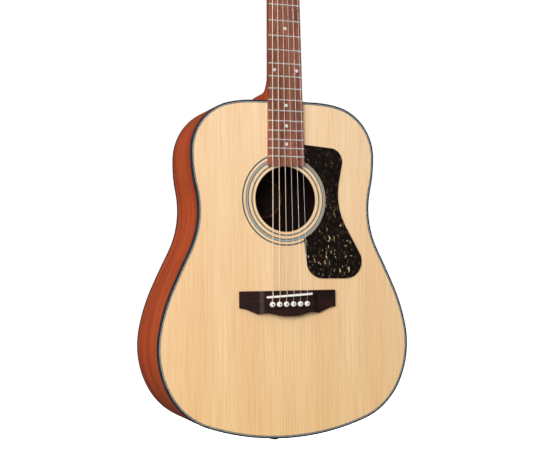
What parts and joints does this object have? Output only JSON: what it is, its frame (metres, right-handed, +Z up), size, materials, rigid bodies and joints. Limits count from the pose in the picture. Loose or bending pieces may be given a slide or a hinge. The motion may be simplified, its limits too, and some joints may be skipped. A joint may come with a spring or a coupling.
{
  "type": "acoustic guitar",
  "caption": "Flat-top steel-string acoustic guitar with spruce top, mahogany body and neck, round soundhole, pinned bridge and geared tuners.",
  "frame": {"origin": "on the neck's centreline at the nut line, where the fingerboard's underside meets the plane of the soundboard's face; a wall hanger holds the neck here", "axes": "+Z up the neck towards the headstock, -Y out of the soundboard towards the listener, +X towards the treble side"},
  "size_m": [0.3974, 0.1444, 1.0539],
  "materials": {
    "spruce": "satin lacquered spruce",
    "mahogany": "satin lacquered mahogany",
    "neck_mahogany": "satin lacquered mahogany",
    "mahogany_inside": "bare mahogany",
    "maple": "bare maple",
    "brace_spruce": "bare spruce",
    "lining_wood": "bare mahogany",
    "rosewood": "oiled rosewood",
    "fingerboard_wood": "oiled rosewood",
    "black_binding": "satin black plastic",
    "ivory_line": "ivory plastic line",
    "rosette_plies": "black and white plies",
    "tortoise_shell": "polished dark tortoise pattern",
    "bone": "polished bone",
    "paper": "plain paper label",
    "fret_wire": "polished nickel silver",
    "steel": "steel",
    "nickel": "nickel plate",
    "tuner_chrome": "chrome plate",
    "brass": "brass",
    "bronze_wire": "wound phosphor bronze",
    "steel_wire": "plain steel wire",
    "pearl": "mother-of-pearl",
    "black_plastic": "black plastic",
    "white_plastic": "white plastic with a black dot"
  },
  "bodies": {
    "guitar": {"soundboard": "spruce", "back_plate": "mahogany", "side_bass": "mahogany", "side_treble": "mahogany", "top_binding": "black_binding", "top_purfling": "ivory_line", "back_binding": "black_binding", "rosette": "rosette_plies", "pickguard": "tortoise_shell", "bridge": "rosewood", "saddle": "bone", "bridge_plate": "maple", "x_brace": "brace_spruce", "top_braces": "brace_spruce", "back_braces": "brace_spruce", "linings": "lining_wood", "neck_block": "mahogany_inside", "tail_block": "mahogany_inside", "tail_wedge": "black_binding", "label": "paper", "neck": "neck_mahogany", "heel_cap": "black_binding", "fingerboard": "fingerboard_wood", "frets": "fret_wire", "position_dots": "pearl", "nut": "bone", "headstock_overlay": "rosewood", "truss_rod": "steel", "truss_rod_cover": "black_plastic", "tuner_plates": "nickel", "tuner_bushings": "nickel", "small_screws": "nickel", "wound_strings": "bronze_wire", "plain_strings": "steel_wire"},
    "tuner_key_1": {"tuner_key_1": "tuner_chrome"},
    "string_post_1": {"string_post_1": "nickel", "worm_wheel_1": "brass"},
    "tuner_key_2": {"tuner_key_2": "tuner_chrome"},
    "string_post_2": {"string_post_2": "nickel", "worm_wheel_2": "brass"},
    "tuner_key_3": {"tuner_key_3": "tuner_chrome"},
    "string_post_3": {"string_post_3": "nickel", "worm_wheel_3": "brass"},
    "tuner_key_4": {"tuner_key_4": "tuner_chrome"},
    "string_post_4": {"string_post_4": "nickel", "worm_wheel_4": "brass"},
    "tuner_key_5": {"tuner_key_5": "tuner_chrome"},
    "string_post_5": {"string_post_5": "nickel", "worm_wheel_5": "brass"},
    "tuner_key_6": {"tuner_key_6": "tuner_chrome"},
    "string_post_6": {"string_post_6": "nickel", "worm_wheel_6": "brass"},
    "bridge_pin_1": {"bridge_pin_1": "white_plastic"},
    "bridge_pin_2": {"bridge_pin_2": "white_plastic"},
    "bridge_pin_3": {"bridge_pin_3": "white_plastic"},
    "bridge_pin_4": {"bridge_pin_4": "white_plastic"},
    "bridge_pin_5": {"bridge_pin_5": "white_plastic"},
    "bridge_pin_6": {"bridge_pin_6": "white_plastic"},
    "end_pin": {"end_pin": "black_plastic"},
    "truss_rod_nut": {"truss_rod_nut": "brass"}
  },
  "joints": [
    {"name": "key_1_turn", "type": "hinge", "parent": "guitar", "child": "tuner_key_1", "pos_m": [-0.027, 0.02789, 0.03802], "axis": [-1, 0, 0], "continuous": true},
    {"name": "post_1_turn", "type": "hinge", "parent": "guitar", "child": "string_post_1", "pos_m": [-0.027, 0.01113, 0.05013], "axis": [0, -0.9703, 0.2419], "continuous": true},
    {"name": "key_2_turn", "type": "hinge", "parent": "guitar", "child": "tuner_key_2", "pos_m": [-0.027, 0.03781, 0.0778], "axis": [-1, 0, 0], "continuous": true},
    {"name": "post_2_turn", "type": "hinge", "parent": "guitar", "child": "string_post_2", "pos_m": [-0.027, 0.02105, 0.08992], "axis": [0, -0.9703, 0.2419], "continuous": true},
    {"name": "key_3_turn", "type": "hinge", "parent": "guitar", "child": "tuner_key_3", "pos_m": [-0.027, 0.04773, 0.11758], "axis": [-1, 0, 0], "continuous": true},
    {"name": "post_3_turn", "type": "hinge", "parent": "guitar", "child": "string_post_3", "pos_m": [-0.027, 0.03097, 0.1297], "axis": [0, -0.9703, 0.2419], "continuous": true},
    {"name": "key_4_turn", "type": "hinge", "parent": "guitar", "child": "tuner_key_4", "pos_m": [0.027, 0.05146, 0.13252], "axis": [1, 0, 0], "continuous": true},
    {"name": "post_4_turn", "type": "hinge", "parent": "guitar", "child": "string_post_4", "pos_m": [0.027, 0.03097, 0.1297], "axis": [0, -0.9703, 0.2419], "continuous": true},
    {"name": "key_5_turn", "type": "hinge", "parent": "guitar", "child": "tuner_key_5", "pos_m": [0.027, 0.04154, 0.09274], "axis": [1, 0, 0], "continuous": true},
    {"name": "post_5_turn", "type": "hinge", "parent": "guitar", "child": "string_post_5", "pos_m": [0.027, 0.02105, 0.08992], "axis": [0, -0.9703, 0.2419], "continuous": true},
    {"name": "key_6_turn", "type": "hinge", "parent": "guitar", "child": "tuner_key_6", "pos_m": [0.027, 0.03162, 0.05296], "axis": [1, 0, 0], "continuous": true},
    {"name": "post_6_turn", "type": "hinge", "parent": "guitar", "child": "string_post_6", "pos_m": [0.027, 0.01113, 0.05013], "axis": [0, -0.9703, 0.2419], "continuous": true},
    {"name": "pin_1_pull", "type": "slide", "parent": "guitar", "child": "bridge_pin_1", "axis": [0, -1, 0], "range_m": [0, 0.03]},
    {"name": "pin_2_pull", "type": "slide", "parent": "guitar", "child": "bridge_pin_2", "axis": [0, -1, 0], "range_m": [0, 0.03]},
    {"name": "pin_3_pull", "type": "slide", "parent": "guitar", "child": "bridge_pin_3", "axis": [0, -1, 0], "range_m": [0, 0.03]},
    {"name": "pin_4_pull", "type": "slide", "parent": "guitar", "child": "bridge_pin_4", "axis": [0, -1, 0], "range_m": [0, 0.03]},
    {"name": "pin_5_pull", "type": "slide", "parent": "guitar", "child": "bridge_pin_5", "axis": [0, -1, 0], "range_m": [0, 0.03]},
    {"name": "pin_6_pull", "type": "slide", "parent": "guitar", "child": "bridge_pin_6", "axis": [0, -1, 0], "range_m": [0, 0.03]},
    {"name": "end_pin_pull", "type": "slide", "parent": "guitar", "child": "end_pin", "axis": [0, 0, -1], "range_m": [0, 0.03]},
    {"name": "truss_nut_turn", "type": "hinge", "parent": "guitar", "child": "truss_rod_nut", "pos_m": [0, 0.007, 0.0175], "axis": [0, 0, 1], "range_deg": [-360, 360]}
  ],
  "couplings": [
    {"joint": "post_1_turn", "follows": "key_1_turn", "ratio": 0.055556},
    {"joint": "post_2_turn", "follows": "key_2_turn", "ratio": 0.055556},
    {"joint": "post_3_turn", "follows": "key_3_turn", "ratio": 0.055556},
    {"joint": "post_4_turn", "follows": "key_4_turn", "ratio": 0.055556},
    {"joint": "post_5_turn", "follows": "key_5_turn", "ratio": 0.055556},
    {"joint": "post_6_turn", "follows": "key_6_turn", "ratio": 0.055556}
  ]
}
